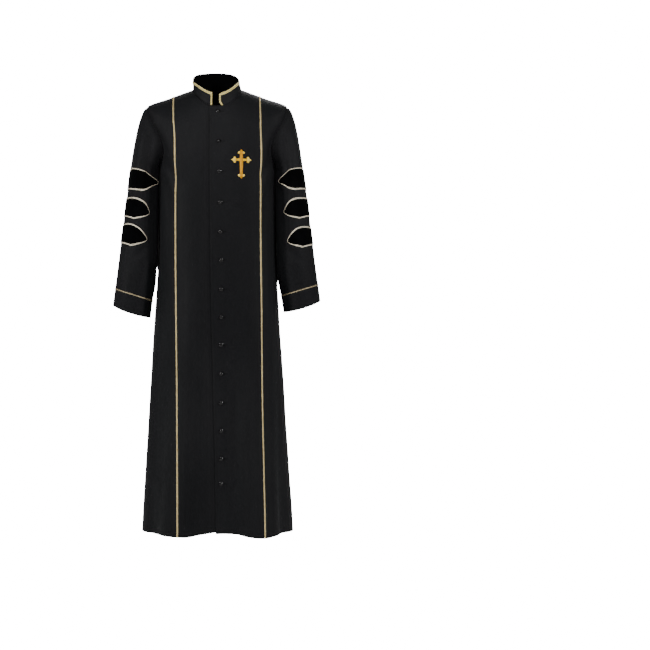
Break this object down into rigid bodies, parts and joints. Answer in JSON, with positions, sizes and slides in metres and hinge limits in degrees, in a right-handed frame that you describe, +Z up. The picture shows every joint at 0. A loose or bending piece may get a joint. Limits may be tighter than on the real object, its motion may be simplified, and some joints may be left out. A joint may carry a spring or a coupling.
{
  "type": "clergy robe",
  "caption": "Floor-length buttoned clergy robe with stand collar, braid-trimmed fronts, velvet sleeve bars and a cross, filled out as when worn.",
  "frame": {"origin": "middle of the neck, level with the inner ends of the shoulder seams, where the wearer's shoulders hold the robe", "axes": "+Z up, -Y towards the front of the robe, +X towards the wearer's left"},
  "size_m": [0.6455, 0.3356, 1.4382],
  "materials": {
    "cloth": "matte black twill",
    "velvet": "black velvet",
    "braid": "gold metallic braid",
    "embroidery": "satin-stitched gold thread",
    "buttons": "gloss black"
  },
  "bodies": {
    "root": {"front_left": "cloth", "front_right": "cloth", "back_left": "cloth", "back_right": "cloth", "sleeve_left": "cloth", "sleeve_right": "cloth", "collar": "cloth", "collar_braid": "braid", "stripe_left": "braid", "stripe_right": "braid", "cuff_braid_left": "braid", "cuff_braid_right": "braid", "bar_braid_left_1": "braid", "bar_braid_left_2": "braid", "bar_braid_left_3": "braid", "bar_braid_right_1": "braid", "bar_braid_right_2": "braid", "bar_braid_right_3": "braid", "bar_left_1": "velvet", "bar_left_2": "velvet", "bar_left_3": "velvet", "bar_right_1": "velvet", "bar_right_2": "velvet", "bar_right_3": "velvet", "button_01": "buttons", "button_02": "buttons", "button_03": "buttons", "button_04": "buttons", "button_05": "buttons", "button_06": "buttons", "button_07": "buttons", "button_08": "buttons", "button_09": "buttons", "button_10": "buttons", "button_11": "buttons", "button_12": "buttons", "button_13": "buttons", "button_14": "buttons", "cross": "embroidery"}
  },
  "joints": []
}
